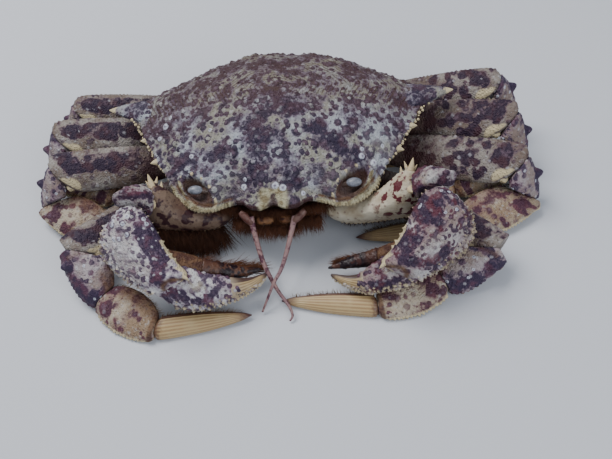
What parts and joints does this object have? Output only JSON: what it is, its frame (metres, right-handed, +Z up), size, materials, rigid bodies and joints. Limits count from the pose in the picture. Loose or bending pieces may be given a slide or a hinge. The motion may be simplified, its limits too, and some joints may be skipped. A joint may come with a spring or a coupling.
{
  "type": "armed box crab",
  "caption": "Life-size still model of a box crab at rest on its belly, with folded legs and toothed claws held in front of the mouth.",
  "frame": {"origin": "on the flat underside of the folded abdomen, where the crab rests on the floor, in its middle plane", "axes": "+X to the crab's left, -Y the way it faces, +Z up from the floor it rests on"},
  "size_m": [0.1857, 0.1122, 0.0403],
  "materials": {
    "shell": "satin, grey-white with plum blotches",
    "leg": "satin, purple and cream",
    "finger": "satin, ribbed golden tan",
    "claw_tip": "satin, dark brown",
    "underside": "satin cream",
    "mouth": "matte red-brown",
    "feeler": "matte dark plum",
    "eye": "gloss grey"
  },
  "bodies": {
    "root": {"carapace": "shell", "underbody": "underside", "abdomen": "underside", "eye_left": "eye", "antenna_left": "feeler", "mouthpart_left": "mouth", "claw_left_arm": "shell", "claw_left_wrist": "shell", "claw_left_palm": "shell", "claw_left_finger": "claw_tip", "leg_2_left_base": "leg", "leg_2_left_merus": "leg", "leg_2_left_carpus": "leg", "leg_2_left_propodus": "leg", "leg_2_left_dactyl": "finger", "leg_3_left_base": "leg", "leg_3_left_merus": "leg", "leg_3_left_carpus": "leg", "leg_3_left_propodus": "leg", "leg_3_left_dactyl": "finger", "leg_4_left_base": "leg", "leg_4_left_merus": "leg", "leg_4_left_carpus": "leg", "leg_4_left_propodus": "leg", "leg_4_left_dactyl": "finger", "leg_5_left_base": "leg", "leg_5_left_merus": "leg", "leg_5_left_carpus": "leg", "leg_5_left_propodus": "leg", "leg_5_left_dactyl": "finger", "eye_right": "eye", "antenna_right": "feeler", "mouthpart_right": "mouth", "claw_right_arm": "shell", "claw_right_wrist": "shell", "claw_right_palm": "shell", "claw_right_finger": "claw_tip", "leg_2_right_base": "leg", "leg_2_right_merus": "leg", "leg_2_right_carpus": "leg", "leg_2_right_propodus": "leg", "leg_2_right_dactyl": "finger", "leg_3_right_base": "leg", "leg_3_right_merus": "leg", "leg_3_right_carpus": "leg", "leg_3_right_propodus": "leg", "leg_3_right_dactyl": "finger", "leg_4_right_base": "leg", "leg_4_right_merus": "leg", "leg_4_right_carpus": "leg", "leg_4_right_propodus": "leg", "leg_4_right_dactyl": "finger", "leg_5_right_base": "leg", "leg_5_right_merus": "leg", "leg_5_right_carpus": "leg", "leg_5_right_propodus": "leg", "leg_5_right_dactyl": "finger"}
  },
  "joints": []
}
